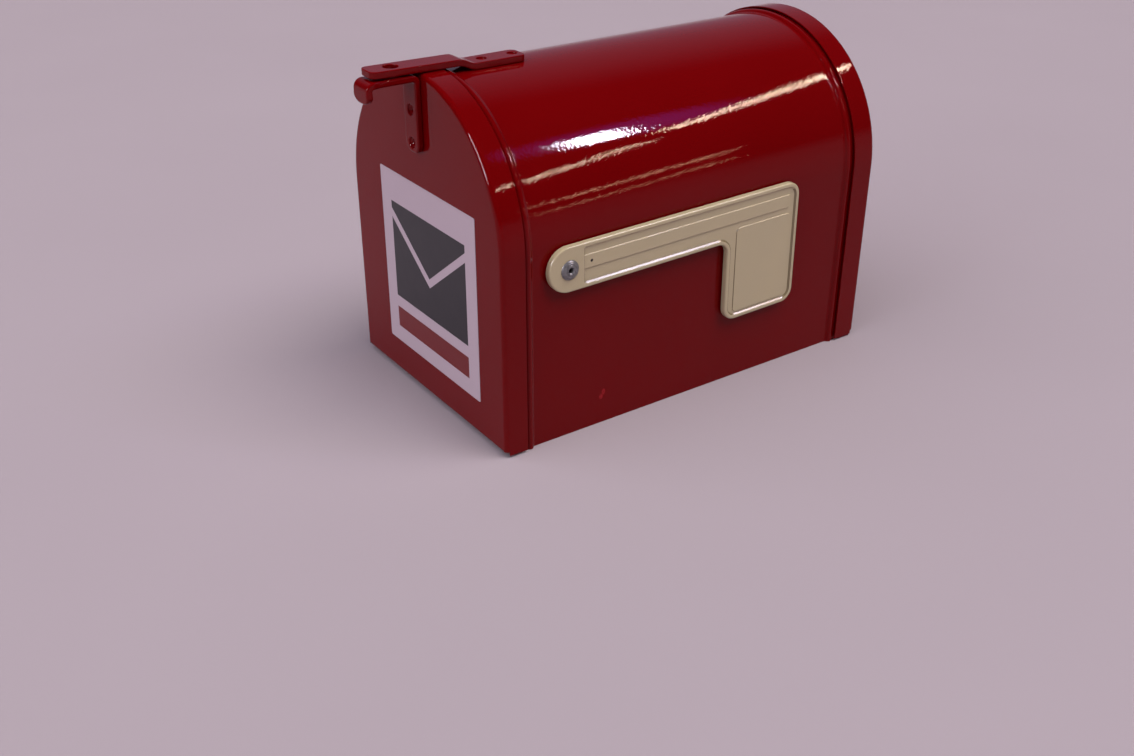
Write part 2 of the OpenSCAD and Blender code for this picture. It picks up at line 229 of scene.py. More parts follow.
def draw_slab(name, points, push):
    """Draws a closed outline, fills it and extrudes it by the given vector."""
    piece = draw_line(name, points + points[:1])
    bpy.ops.mesh.select_all(action="SELECT")
    bpy.ops.mesh.remove_doubles(threshold=0.002 * MM)
    bpy.ops.mesh.select_all(action="SELECT")
    bpy.ops.mesh.edge_face_add()
    bpy.ops.mesh.extrude_region_move(TRANSFORM_OT_translate={"value": push})
    bpy.ops.mesh.select_all(action="SELECT")
    bpy.ops.mesh.normals_make_consistent(inside=False)
    bpy.ops.object.mode_set(mode="OBJECT")
    return piece


def pull_out(vector):
    """Extrudes the selected edges by a vector."""
    bpy.ops.mesh.extrude_edges_move(TRANSFORM_OT_translate={"value": vector})


def close_seams():
    """Merges doubles, points all faces the same way and leaves edit mode."""
    bpy.ops.mesh.select_all(action="SELECT")
    bpy.ops.mesh.remove_doubles(threshold=0.004 * MM)
    bpy.ops.mesh.select_all(action="SELECT")
    bpy.ops.mesh.normals_make_consistent(inside=False)
    bpy.ops.object.mode_set(mode="OBJECT")


def modify(piece, kind, **settings):
    """Adds a modifier to a piece, sets it and applies it."""
    activate(piece)
    bpy.ops.object.modifier_add(type=kind)
    modifier = piece.modifiers[-1]
    for name, value in settings.items():
        setattr(modifier, name, value)
    bpy.ops.object.modifier_apply(modifier=modifier.name)


def combine(piece, other, operation):
    """Cuts another solid out of a piece, or joins it on, and removes the other solid."""
    modify(piece, "BOOLEAN", operation=operation, solver="EXACT", object=other)
    bpy.data.objects.remove(other)


def drill(piece, where, axis, diameter, depth):
    """Cuts a round hole through a piece. The depth runs both ways from the given point."""
    clear_selection()
    turn = Vector((0, 0, 1)).rotation_difference(Vector(axis)).to_euler()
    bpy.ops.mesh.primitive_cylinder_add(vertices=48, radius=diameter / 2, depth=2 * depth,
                                        location=where, rotation=turn)
    combine(piece, named("drill"), "DIFFERENCE")


def lathe(name, outline, where, axis):
    """Spins an outline of (radius, height) points in millimetres round an axis."""
    axis = Vector(axis)
    side = axis.orthogonal().normalized()
    piece = draw_line(name, [where + side * (r * MM) + axis * (h * MM) for r, h in outline])
    bpy.ops.mesh.select_all(action="SELECT")
    bpy.ops.mesh.spin(steps=56, angle=2 * math.pi, center=where, axis=axis)
    close_seams()
    return piece


def soften(piece, width, segments, limit):
    """Rounds every edge that is sharper than the limit in degrees."""
    modify(piece, "BEVEL", width=width, segments=segments, limit_method="ANGLE",
           angle_limit=math.radians(limit), use_clamp_overlap=True, miter_outer="MITER_ARC")


def finish_piece(piece, body, nodes, material):
    """Shades a piece, gives it its finish and puts it on its body in place of its CAD nodes.

    A piece that has its finishes already keeps them."""
    activate(piece)
    bpy.ops.object.shade_smooth_by_angle(angle=math.radians(35))
    modify(piece, "WEIGHTED_NORMAL", mode="FACE_AREA", weight=50, keep_sharp=True)
    if not piece.data.materials:
        piece.data.materials.append(material)
    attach(piece, body)
    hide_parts(*nodes)


# ---- finishes ----

# the colour sockets of a Mix node, which only their numbers tell from its other sockets
FACTOR, COLOUR_A, COLOUR_B, COLOUR_RESULT = 0, 6, 7, 2


def add(tree, kind, inputs=None, **settings):
    """Adds a shader node, sets it, and fills its inputs with values or with links.

    A link comes from a socket, or from a node, whose first output it then takes."""
    made = tree.nodes.new(kind)
    for name, value in settings.items():
        setattr(made, name, value)
    for key, value in (inputs or {}).items():
        if isinstance(value, bpy.types.Node):
            value = value.outputs[0]
        if isinstance(value, bpy.types.NodeSocket):
            tree.links.new(value, made.inputs[key])
        else:
            made.inputs[key].default_value = value
    return made


def start_material(name):
    """A new node material that holds only its Object coordinates."""
    material = bpy.data.materials.new(name)
    material.use_nodes = True
    tree = material.node_tree
    tree.nodes.clear()
    return material, tree, add(tree, "ShaderNodeTexCoord").outputs["Object"]


def soft_spot(tree, spot, middle, radii):
    """1 inside a soft ellipsoid round a point, 0 outside."""
    moved = add(tree, "ShaderNodeVectorMath", {0: spot, 1: middle}, operation="SUBTRACT")
    scaled = add(tree, "ShaderNodeVectorMath", {0: moved, 1: radii}, operation="DIVIDE")
    far = add(tree, "ShaderNodeVectorMath", {0: scaled}, operation="LENGTH")
    return add(tree, "ShaderNodeMapRange", {"Value": far.outputs["Value"], "From Min": 0.7,
                                            "From Max": 1.1, "To Min": 1.0, "To Max": 0.0})


def enamel(finish):
    """Stoving enamel sprayed on steel sheet and baked.

    It gives a wet, mirror-like gloss whose reflections are torn by orange peel, with a slow
    waviness from the sheet under it, a few dust nibs, and one small rub low on the flag side."""
    material, tree, spot = start_material("red stoving enamel, sprayed and baked")
    cloud = add(tree, "ShaderNodeTexNoise", {"Vector": spot, "Scale": 1 / (45 * MM)})
    coat = add(tree, "ShaderNodeMix", {FACTOR: cloud, COLOUR_A: finish.enamel_deep,
                                       COLOUR_B: finish.enamel}, data_type="RGBA")
    # the rub: two short scuffs that overlap, broken up by the steel's grain
    low_scuff = soft_spot(tree, spot, place(65.8, 55.6, 14.4), (2 * MM, 1.2 * MM, 1.6 * MM))
    high_scuff = soft_spot(tree, spot, place(65.8, 57.0, 16.6), (2 * MM, 1.1 * MM, 1.8 * MM))
    rub = add(tree, "ShaderNodeMath", {0: low_scuff, 1: high_scuff}, operation="MAXIMUM")
    grain = add(tree, "ShaderNodeTexNoise", {"Vector": spot, "Scale": 1 / (1.1 * MM)})
    rub = add(tree, "ShaderNodeMath", {0: rub, 1: grain}, operation="MULTIPLY")
    tone = add(tree, "ShaderNodeMix", {FACTOR: rub, COLOUR_A: coat.outputs[COLOUR_RESULT],
                                       COLOUR_B: linear("#b0242c")}, data_type="RGBA")
    # the relief: a slow wave, a nib every 17 mm or so, and the orange peel
    wave = add(tree, "ShaderNodeTexNoise", {"Vector": spot, "Scale": 1 / (22 * MM),
                                            "Detail": 0.0})
    nib = add(tree, "ShaderNodeTexVoronoi", {"Vector": spot, "Scale": 1 / (17 * MM)})
    nib = add(tree, "ShaderNodeMapRange", {"Value": nib, "From Max": 0.022, "To Min": 1.0,
                                           "To Max": 0.0})
    peel = add(tree, "ShaderNodeTexNoise", {"Vector": spot, "Scale": 1 / finish.peel_size,
                                            "Detail": 1.5})
    bump = add(tree, "ShaderNodeBump", {"Height": wave, "Distance": 0.05 * MM})
    bump = add(tree, "ShaderNodeBump", {"Height": nib, "Distance": 0.03 * MM, "Normal": bump})
    bump = add(tree, "ShaderNodeBump", {"Height": peel, "Distance": 0.03 * MM, "Normal": bump})
    film = add(tree, "ShaderNodeTexNoise", {"Vector": spot, "Scale": 1 / (30 * MM),
                                            "Detail": 3.0})
    rough = add(tree, "ShaderNodeMapRange", {"Value": film, "To Min": 0.02, "To Max": 0.045})
    rough = add(tree, "ShaderNodeMath", {0: rub, 1: 0.3, 2: rough}, operation="MULTIPLY_ADD")
    shader = add(tree, "ShaderNodeBsdfPrincipled", {
        "Base Color": tone.outputs[COLOUR_RESULT], "Roughness": rough, "Normal": bump,
        "IOR": 1.45, "Specular IOR Level": 0.17})
    add(tree, "ShaderNodeOutputMaterial", {"Surface": shader})
    return material


def flag_plastic(finish, painted_groove_shade=False):
    """Cream styrene, injection moulded.

    It gives a soft, even sheen with a faint mould texture, slightly yellowed in patches, and
    one dark speck on the arm. The groove version is darkened towards yellow-brown as painted
    shade."""
    name = "cream styrene, moulded" + (", painted groove shade" if painted_groove_shade else "")
    material, tree, spot = start_material(name)
    patch = add(tree, "ShaderNodeTexNoise", {"Vector": spot, "Scale": 1 / (28 * MM),
                                             "Detail": 3.0})
    tone = add(tree, "ShaderNodeMix", {FACTOR: patch, COLOUR_A: finish.flag_plastic,
                                       COLOUR_B: linear("#beae8c")}, data_type="RGBA")
    # painted shade: a darker, yellow-brown cream for the groove walls
    if painted_groove_shade:
        tone = add(tree, "ShaderNodeMix", {FACTOR: 0.7, COLOUR_A: tone.outputs[COLOUR_RESULT],
                                           COLOUR_B: linear("#574526")}, data_type="RGBA")
    speck = soft_spot(tree, spot, place(69.5, 46.58, 88.63), (2 * MM, 0.8 * MM, 0.8 * MM))
    tone = add(tree, "ShaderNodeMix", {FACTOR: speck, COLOUR_A: tone.outputs[COLOUR_RESULT],
                                       COLOUR_B: linear("#17120e")}, data_type="RGBA")
    skin = add(tree, "ShaderNodeTexNoise", {"Vector": spot, "Scale": 1 / (0.6 * MM)})
    bump = add(tree, "ShaderNodeBump", {"Height": skin, "Distance": 0.006 * MM})
    sheen = add(tree, "ShaderNodeTexNoise", {"Vector": spot, "Scale": 1 / (12 * MM)})
    rough = add(tree, "ShaderNodeMapRange", {"Value": sheen, "To Min": 0.18, "To Max": 0.3})
    shader = add(tree, "ShaderNodeBsdfPrincipled", {
        "Base Color": tone.outputs[COLOUR_RESULT], "Roughness": rough, "Normal": bump,
        "IOR": 1.54})
    add(tree, "ShaderNodeOutputMaterial", {"Surface": shader})
    return material


def label_film(finish):
    """White vinyl film, screen printed with charcoal and red ink.

    It gives a flat, slightly satin face. The print is a plain envelope over a red bar."""
    material, tree, spot = start_material("white vinyl film, screen printed")
    middle = (LABEL_LOW + LABEL_HIGH) / 2
    axes = add(tree, "ShaderNodeSeparateXYZ", {0: spot})
    across = add(tree, "ShaderNodeMath", {0: axes.outputs["X"], 1: middle.x},
                 operation="SUBTRACT")
    across = add(tree, "ShaderNodeMath", {0: across}, operation="ABSOLUTE")
    up = add(tree, "ShaderNodeMath", {0: axes.outputs["Z"], 1: middle.z}, operation="SUBTRACT")

    def block(half_width, low, high):
        """A printed rectangle, in millimetres from the label's middle."""
        wide = add(tree, "ShaderNodeMath", {0: across, 1: half_width * MM},
                   operation="LESS_THAN")
        tall = add(tree, "ShaderNodeMath", {0: up, 1: (low + high) / 2 * MM,
                                            2: (high - low) / 2 * MM}, operation="COMPARE")
        return add(tree, "ShaderNodeMath", {0: wide, 1: tall}, operation="MULTIPLY")

    print_half = 34
    envelope = block(print_half, -20, 30)
    # the flap: two white lines that run down from the envelope's upper corners and meet
    flap_slope, flap_tip, line_half = 0.75, -1.5 * MM, 2.3 * MM
    flap = add(tree, "ShaderNodeMath", {0: across, 1: -flap_slope, 2: up},
               operation="MULTIPLY_ADD")
    flap = add(tree, "ShaderNodeMath", {0: flap, 1: flap_tip, 2: line_half},
               operation="COMPARE")
    flap = add(tree, "ShaderNodeMath", {0: flap, 1: envelope}, operation="MULTIPLY")
    ink = add(tree, "ShaderNodeMath", {0: envelope, 1: flap}, operation="SUBTRACT")
    tone = add(tree, "ShaderNodeMix", {FACTOR: ink, COLOUR_A: finish.label_film,
                                       COLOUR_B: finish.label_ink}, data_type="RGBA")
    tone = add(tree, "ShaderNodeMix", {FACTOR: block(print_half, -37, -26),
                                       COLOUR_A: tone.outputs[COLOUR_RESULT],
                                       COLOUR_B: finish.enamel}, data_type="RGBA")
    satin = add(tree, "ShaderNodeTexNoise", {"Vector": spot, "Scale": 1 / (9 * MM)})
    rough = add(tree, "ShaderNodeMapRange", {"Value": satin, "To Min": 0.3, "To Max": 0.4})
    lift = add(tree, "ShaderNodeTexNoise", {"Vector": spot, "Scale": 1 / (14 * MM),
                                            "Detail": 1.0})
    bump = add(tree, "ShaderNodeBump", {"Height": lift, "Distance": 0.03 * MM})
    shader = add(tree, "ShaderNodeBsdfPrincipled", {
        "Base Color": tone.outputs[COLOUR_RESULT], "Roughness": rough, "Normal": bump,
        "IOR": 1.5})
    add(tree, "ShaderNodeOutputMaterial", {"Surface": shader})
    return material


def dull_zinc(finish):
    """Zinc plated steel of a blind rivet, cold headed.

    It gives a soft grey half-metal, since the plating has gone dull, with darker patches."""
    material, tree, spot = start_material("zinc plated steel, cold headed")
    patch = add(tree, "ShaderNodeTexNoise", {"Vector": spot, "Scale": 1 / (1.2 * MM),
                                             "Detail": 3.0})
    tone = add(tree, "ShaderNodeMix", {FACTOR: patch, COLOUR_A: finish.rivet_zinc,
                                       COLOUR_B: linear("#454447")}, data_type="RGBA")
    rough = add(tree, "ShaderNodeMapRange", {"Value": patch, "To Min": 0.28, "To Max": 0.5})
    pits = add(tree, "ShaderNodeTexNoise", {"Vector": spot, "Scale": 1 / (0.5 * MM)})
    bump = add(tree, "ShaderNodeBump", {"Height": pits, "Distance": 0.02 * MM})
    shader = add(tree, "ShaderNodeBsdfPrincipled", {
        "Base Color": tone.outputs[COLOUR_RESULT], "Metallic": 0.5, "Roughness": rough,
        "Normal": bump})
    add(tree, "ShaderNodeOutputMaterial", {"Surface": shader})
    return material


def drawn_steel(snapped=False):
    """Bright steel wire and washer stock, drawn and rolled, or the stem painted near black as
    shade.

    It gives a grey metal with fine lines along the wire and a few darker stains."""
    name = "snapped steel stem, painted pit shade" if snapped else "bright steel, drawn"
    # the stem's two tones are near black: painted shade for its place deep in the bore
    light, dark = ("#2b292a", "#1c1a1b") if snapped else ("#8f8c89", "#6a6561")
    material, tree, spot = start_material(name)
    stretch = add(tree, "ShaderNodeMapping", {"Vector": spot, "Scale": (0.04, 1.0, 1.0)})
    lines = add(tree, "ShaderNodeTexNoise", {"Vector": stretch, "Scale": 1 / (0.25 * MM)})
    stain = add(tree, "ShaderNodeTexNoise", {"Vector": spot, "Scale": 1 / (6 * MM),
                                             "Detail": 3.0})
    tone = add(tree, "ShaderNodeMix", {FACTOR: stain, COLOUR_A: linear(light),
                                       COLOUR_B: linear(dark)}, data_type="RGBA")
    rough = add(tree, "ShaderNodeMapRange", {"Value": lines, "To Min": 0.3, "To Max": 0.48})
    bump = add(tree, "ShaderNodeBump", {"Height": lines, "Distance": 0.01 * MM})
    shader = add(tree, "ShaderNodeBsdfPrincipled", {
        "Base Color": tone.outputs[COLOUR_RESULT], "Metallic": 1.0, "Roughness": rough,
        "Normal": bump})
    add(tree, "ShaderNodeOutputMaterial", {"Surface": shader})
    return material


def nylon():
    """Natural nylon, moulded.

    It gives a waxy off-white with a little light scattered inside it."""
    material, tree, spot = start_material("natural nylon, moulded")
    cloud = add(tree, "ShaderNodeTexNoise", {"Vector": spot, "Scale": 1 / (4 * MM)})
    tone = add(tree, "ShaderNodeMix", {FACTOR: cloud, COLOUR_A: linear("#cfc8b8"),
                                       COLOUR_B: linear("#bdb5a3")}, data_type="RGBA")
    shader = add(tree, "ShaderNodeBsdfPrincipled", {
        "Base Color": tone.outputs[COLOUR_RESULT], "Roughness": 0.5, "IOR": 1.53,
        "Subsurface Weight": 0.05})
    add(tree, "ShaderNodeOutputMaterial", {"Surface": shader})
    return material


FINISHES = {}


def finish_for(name):
    """Makes each finish once and hands out the same one after that."""
    finish = bpy.context.scene.mailbox_finish
    makers = {"enamel": lambda: enamel(finish),
              "flag": lambda: flag_plastic(finish),
              "groove": lambda: flag_plastic(finish, painted_groove_shade=True),
              "label": lambda: label_film(finish),
              "zinc": lambda: dull_zinc(finish),
              "steel": drawn_steel,
              "stem": lambda: drawn_steel(snapped=True),
              "nylon": nylon}
    if name not in FINISHES:
        FINISHES[name] = makers[name]()
    return FINISHES[name]


# ---- pieces ----

def arch_over(piece):
    """Spins the drawn profile over the top to the other side, and selects its two lower ends."""
    bpy.ops.mesh.select_all(action="SELECT")
    bpy.ops.mesh.spin(steps=128, angle=math.pi, center=(MID_X, 0, SPRING_Z), axis=(0, 1, 0))
    pick(piece, "VERT", lambda co: near(co.z, SPRING_Z))


def thicken(piece, sheet):
    """Turns the faces of an arched skin outwards and gives it its thickness on the inside."""
    close_seams()
    crown = max(piece.data.polygons, key=lambda face: face.center.z)
    if crown.normal.z <= 0:
        bpy.ops.object.mode_set(mode="EDIT")
        bpy.ops.mesh.select_all(action="SELECT")
        bpy.ops.mesh.flip_normals()
        bpy.ops.object.mode_set(mode="OBJECT")
    modify(piece, "SOLIDIFY", thickness=sheet.sheet, offset=-1.0, use_even_offset=True)
    soften(piece, 0.18 * MM, segments=2, limit=60)


def bead_points(middle, sheet, before, after):
    """Points (rise, distance behind the door face) over one bead, between two levels of sheet."""
    half, rise = sheet.bead_width / 2, sheet.bead_rise
    bend = (half ** 2 + rise ** 2) / (4 * rise)
    turn = math.degrees(math.asin(half / 2 / bend))

    def crown_end(level):
        """The crown's end: where it meets a raised land, or where the fillet starts."""
        return math.degrees(math.acos((level - rise + bend) / bend)) if level else turn

    line = [] if before else arc((bend, middle - half), bend, 180, 180 - turn, 7)[:-1]
    line += arc((rise - bend, middle), bend, -crown_end(before), crown_end(after), 14)
    line += [] if after else arc((bend, middle + half), bend, 180 + turn, 180, 7)[1:]
    return line


def build_shell(sheet):
    """The folded sheet: a half round with two straight sides, two beads and a flared rear."""
    front, rear = SHELL_LOW.y - FRONT_Y, SHELL_HIGH.y - FRONT_Y
    front_bead = PAN_HIGH.y - FRONT_Y + sheet.bead_gap
    cap_edge = CAP_LOW.y - FRONT_Y
    rear_bead = cap_edge - sheet.bead_gap
    support = sheet.bead_width / 2 + 1.2 * MM
    line = [(sheet.land, front), (sheet.land, sheet.relief_depth)]
    line += bead_points(front_bead, sheet, sheet.land, 0) + [(0, front_bead + support)]
    line += [(0, rear_bead - support)] + bead_points(rear_bead, sheet, 0, sheet.land)
    flare_start, flare_run, flare_steps = cap_edge + 1.6 * MM, 2.4 * MM, 6
    flare_rise = (SHELL_HIGH.x - SHELL_LOW.x) / 2 - SHELL_R
    for i in range(flare_steps + 1):
        ease = (1 - math.cos(math.pi * i / flare_steps)) / 2
        line.append((sheet.land + (flare_rise - sheet.land) * ease,
                     flare_start + flare_run * i / flare_steps))
    line.append((flare_rise, rear))
    points = [Vector((MID_X + SHELL_R + r, FRONT_Y + y, SPRING_Z)) for r, y in line]
    piece = draw_line("shell", points)
    arch_over(piece)
    pull_out((0, 0, -RING))
    pull_out((0, 0, -(SPRING_Z - RING - sheet.relief_height)))
    # the front corners stop here, to clear the door's hinge, and the rest goes on down
    pick(piece, "VERT", lambda co: near(co.z, sheet.relief_height)
         and co.y > FRONT_Y + sheet.relief_depth - HAIR)
    pull_out((0, 0, HAIR - sheet.relief_height))
    thicken(piece, sheet)
    finish_piece(piece, "box", ["body_shell"], finish_for("enamel"))


def build_pan(name, body, node, face_y, open_y, sheet):
    """A pressed pan: flat face, rounded edge, side flange, folded lower edge."""
    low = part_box(node)[0]
    way = 1 if open_y > face_y else -1
    radius = sheet.edge_radius
    flat = PAN_R - radius
    fold_low = 2.2 * MM
    notch_top = fold_low + MM
    bend_z = fold_low + radius
    fold_inset = 2.8 * MM

    def on_face(co):
        return near(co.y, face_y) and abs(co.x - MID_X) < flat + HAIR

    rim = [(flat, 0)] + arc((flat, radius), radius, -90, 0, 10)[1:]
    rim += [(PAN_R, radius + MM), (PAN_R, abs(open_y - face_y))]
    points = [Vector((MID_X + x, face_y + way * y, SPRING_Z)) for x, y in rim]
    piece = draw_line(name, points)
    arch_over(piece)
    pull_out((0, 0, -RING))
    pull_out((0, 0, -(SPRING_Z - RING - bend_z)))
    pull_out((0, 0, notch_top - bend_z))
    # only the flange goes on down, past the notch at its corner
    pick(piece, "VERT", lambda co: near(co.z, notch_top) and abs(co.y - face_y) > radius - HAIR)
    pull_out((0, 0, low.z - notch_top))
    # close the lower edge of the face, fill the face, and give it a narrow border
    pick(piece, "VERT", lambda co: on_face(co) and near(co.z, bend_z))
    bpy.ops.mesh.edge_face_add()
    pick(piece, "VERT", lambda co: on_face(co) and co.z > bend_z - HAIR)
    bpy.ops.mesh.edge_face_add()
    bpy.ops.mesh.inset(thickness=MM, depth=0)
    # roll the lower edge round and fold it back under the box
    pick(piece, "EDGE", lambda co, run: near(co.y, face_y) and near(co.z, bend_z)
         and abs(run.x) > PAN_R)
    roll = arc((radius, bend_z), radius, 180, 270, 8)
    for start, end in zip(roll, roll[1:]):
        pull_out((0, way * (end[0] - start[0]), end[1] - start[1]))
    pull_out((0, way * MM, 0))
    bpy.ops.transform.resize(value=((flat - fold_inset) / flat, 1, 1),
                             center_override=(MID_X, 0, 0))
    pull_out((0, way * (sheet.fold_depth - radius - MM), 0))
    thicken(piece, sheet)
    finish_piece(piece, body, [node], finish_for("enamel"))


def drill_for_rivets(piece, nodes, axis, diameter, depth):
    """Drills a strap right through at each of its rivets."""
    for node in nodes:
        low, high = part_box(node)
        drill(piece, (low + high) / 2, axis, diameter, depth)


def build_catch(strap):
    """The bar on the roof: flat at the rear, a step up, then a slight rise to the tip."""
    size = CATCH_HIGH - CATCH_LOW
    low, thick, rise = CATCH_LOW.z, strap.thickness, strap.step
    step_y, bend_y = FRONT_Y + 28.6 * MM, FRONT_Y + 19.6 * MM
    slope = math.tan(math.radians(0.97))
    corner, step_parts, through = 3.2 * MM, 10, 9 * MM
    clear_selection()
    bpy.ops.mesh.primitive_cube_add(
        size=1, location=(MID_X, (CATCH_LOW.y + CATCH_HIGH.y) / 2, low + thick / 2),
        scale=(size.x, size.y, thick))
    piece = named("catch")
    edit(piece)
    cuts = [bend_y + (step_y - bend_y) * i / step_parts for i in range(step_parts + 1)]
    for y in cuts:
        bpy.ops.mesh.select_all(action="SELECT")
        bpy.ops.mesh.bisect(plane_co=(0, y, 0), plane_no=(0, 1, 0))
    for i, y in enumerate(cuts[:-1]):
        pick(piece, "VERT", lambda co: near(co.y, y))
        lift = rise * (1 + math.cos(math.pi * i / step_parts)) / 2
        bpy.ops.transform.translate(value=(0, 0, lift))
    pick(piece, "VERT", lambda co: near(co.y, CATCH_LOW.y))
    bpy.ops.transform.translate(value=(0, 0, rise + (bend_y - CATCH_LOW.y) * slope))
    pick(piece, "EDGE", lambda co, run: abs(run.z) > thick * 0.9
         and (near(co.y, CATCH_LOW.y) or near(co.y, CATCH_HIGH.y)))
    bpy.ops.mesh.bevel(offset=corner, segments=8, affect="EDGES")
    clear_selection()
    drill(piece, Vector((MID_X, CLICK_Y, low + thick)), (0, 0, 1), strap.tip_hole, through)
    drill_for_rivets(piece, ("catch_rivet_front", "catch_rivet_rear"), (0, 0, 1),
                     strap.rivet_hole, through)
    soften(piece, strap.soft_edge, segments=4, limit=40)
    finish_piece(piece, "box", ["catch_strap"], finish_for("enamel"))


def extrude_end(vector):
    """Extrudes the selected end face of a bar."""
    bpy.ops.mesh.extrude_region_move(TRANSFORM_OT_translate={"value": vector})


def widen_end(stretch):
    """Widens the selected end face of a bar about the box's middle."""
    bpy.ops.transform.resize(value=(stretch, 1, 1), center_override=(MID_X, 0, 0))


def build_dimple(top, height):
    """The round button that clicks into the catch's hole, cut off under the pull's top."""
    ball_r, root = 5 * MM, 0.8 * MM
    clear_selection()
    bpy.ops.mesh.primitive_uv_sphere_add(segments=48, ring_count=48, radius=ball_r,
                                         location=(MID_X, CLICK_Y, top + height - ball_r))
    dimple = named("dimple")
    edit(dimple)
    bpy.ops.mesh.select_all(action="SELECT")
    bpy.ops.mesh.bisect(plane_co=(0, 0, top - root), plane_no=(0, 0, 1), clear_inner=True,
                        use_fill=True)
    clear_selection()
    return dimple


def build_pull(strap):
    """The bar on the door: up the face, forward under the catch and down into a wider tab."""
    thick, width = strap.thickness, strap.pull_width
    bend = thick + MM
    top = PULL_HIGH.z - strap.dimple
    knee, foot, tip = top - bend, PULL_LOW.z, PULL_LOW.y
    tab_low, foot_corner, tab_corner = top - 9.8 * MM, 4.2 * MM, 5 * MM
    widening, widened_run, through = 1.5 * MM, 3 * MM, 6 * MM
    clear_selection()
    bpy.ops.mesh.primitive_plane_add(size=1, location=(MID_X, FRONT_Y - thick / 2, foot))
    bpy.context.object.scale = (width, thick, 1)
    piece = named("pull")
    edit(piece)
    bpy.ops.mesh.select_all(action="SELECT")
    extrude_end((0, 0, knee - foot))
    bpy.ops.mesh.spin(steps=12, angle=math.pi / 2, center=(MID_X, FRONT_Y - bend, knee),
                      axis=(-1, 0, 0))
    forward = tip + bend - (FRONT_Y - bend)
    extrude_end((0, forward + widened_run, 0))
    extrude_end((0, -widened_run, 0))
    widen_end((width + widening) / width)
    bpy.ops.mesh.spin(steps=12, angle=math.pi / 2, center=(MID_X, tip + bend, knee),
                      axis=(-1, 0, 0))
    # the tab swells a little, then narrows again
    for share, stretch in ((0.4, 1.03), (0.6, 0.97)):
        extrude_end((0, 0, (tab_low - knee) * share))
        widen_end(stretch)
    for level, corner in ((foot, foot_corner), (tab_low, tab_corner)):
        pick(piece, "EDGE", lambda co, run: abs(run.y) > thick * 0.9 and near(co.z, level)
             and abs(co.x - MID_X) > width / 3)
        bpy.ops.mesh.bevel(offset=corner, segments=10, affect="EDGES")
    bpy.ops.mesh.select_all(action="SELECT")
    bpy.ops.mesh.normals_make_consistent(inside=False)
    clear_selection()
    drill_for_rivets(piece, ("pull_rivet_upper", "pull_rivet_lower"), (0, 1, 0),
                     strap.rivet_hole, through)
    combine(piece, build_dimple(top, strap.dimple), "UNION")
    soften(piece, strap.soft_edge, segments=4, limit=40)
    finish_piece(piece, "door", ["door_pull"], finish_for("enamel"))


def build_strap_rivets():
    """Tubular rivets: a low dome inside the box and a rolled hollow end in the strap."""
    head, shank, roll = 1.1, 2.29, 0.2
    for node, axis, body in (("catch_rivet_front", (0, 0, 1), "box"),
                             ("catch_rivet_rear", (0, 0, 1), "box"),
                             ("pull_rivet_upper", (0, -1, 0), "door"),
                             ("pull_rivet_lower", (0, -1, 0), "door")):
        low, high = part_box(node)
        along = Vector(axis)
        tall = abs((high - low).dot(along)) / MM
        base = (low + high) / 2 - along * (tall / 2 * MM)
        outline = [(0, 0), (2.2, 0.02)] + arc((2.2, head), 1.08, -90, -20, 5)[1:]
        outline += [(3.9, 0.75), (3.98, 1.0), (3.9, head), (shank, head), (shank, tall - roll)]
        outline += arc((shank - roll, tall - roll), roll, 0, 120, 4)[1:]
        outline += [(1.5, tall - 0.28), (1.0, tall - 0.75), (0.9, tall - 1.0), (0, tall - 1.05)]
        piece = lathe(node.replace("_rivet", "_tubular_rivet"), outline, base, axis)
        finish_piece(piece, body, [node], finish_for("enamel"))


def flag_point(x, u, v, tilt):
    """A point of the flag: u along the arm from the pivot and v up, in metres."""
    return Vector((x, FLAG_PIVOT.y + u * math.cos(tilt) - v * math.sin(tilt),
                   FLAG_PIVOT.z + u * math.sin(tilt) + v * math.cos(tilt)))


def flag_line(flag, inset, around_pivot=True):
    """The flag's outline moved in by an inset, or the field's, which stops short of the pad."""
    half = flag.arm_radius - inset
    far, low = flag.reach - inset, -flag.leaf_drop + inset
    edge = flag.reach - flag.leaf_width + inset
    corner, fillet = 7 * MM - inset, 5.5 * MM + inset
    if around_pivot:
        line = arc((0, 0), half, 90, 270, 40)
    else:
        small = 1.2 * MM  # more than the tray's draft, which would otherwise close it up
        line = arc((flag.pad + small, half - small), small, 90, 180, 4)
        line += arc((flag.pad + small, -half + small), small, 180, 270, 4)
    line += arc((edge - fillet, -half - fillet), fillet, 90, 0, 12)
    line += arc((edge + corner, low + corner), corner, 180, 270, 10)
    line += arc((far - corner, low + corner), corner, 270, 360, 10)
    line += arc((far - corner, half - corner), corner, 0, 90, 10)
    return line


def round_rectangle(left, low, right, high, radius, steps):
    """The outline of a rectangle with round corners."""
    line = arc((left + radius, low + radius), radius, 180, 270, steps)
    line += arc((right - radius, low + radius), radius, 270, 360, steps)
    line += arc((right - radius, high - radius), radius, 0, 90, steps)
    line += arc((left + radius, high - radius), radius, 90, 180, steps)
    return line


def two_finishes(piece):
    """Gives a part of the flag its plastic, and in the second slot the plastic with painted
    groove shade.
    """
    for name in ("flag", "groove"):
        piece.data.materials.append(finish_for(name))


def paint_groove_shade(piece):
    """Gives the selected faces the plastic with painted shade and leaves edit mode."""
    two_finishes(piece)
    piece.active_material_index = 1
    bpy.ops.object.material_slot_assign()
    clear_selection()


